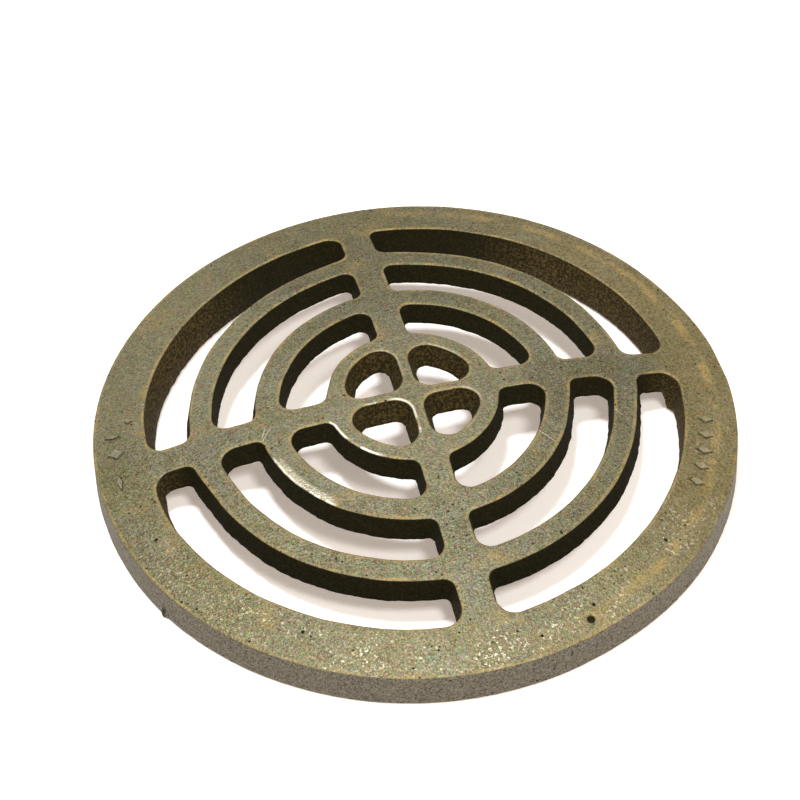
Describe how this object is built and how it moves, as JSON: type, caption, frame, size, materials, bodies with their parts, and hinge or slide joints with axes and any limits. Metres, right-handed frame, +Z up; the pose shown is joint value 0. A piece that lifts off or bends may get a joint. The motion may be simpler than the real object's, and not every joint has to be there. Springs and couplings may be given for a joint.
{
  "type": "drain grate",
  "caption": "Round domed cast-iron drain grate: flat-seated rim with ring ribs and crossing spokes, open slots between them.",
  "frame": {"origin": "centre of the flat seat under the rim", "axes": "+Z up out of the domed top face, the four spokes run along +X, +Y, -X and -Y"},
  "size_m": [0.1872, 0.1872, 0.0222],
  "materials": {
    "cast_iron": "rough sand-cast iron, weathered olive brown with rust along the edges"
  },
  "bodies": {
    "root": {"drain_grate": "cast_iron"}
  },
  "joints": []
}
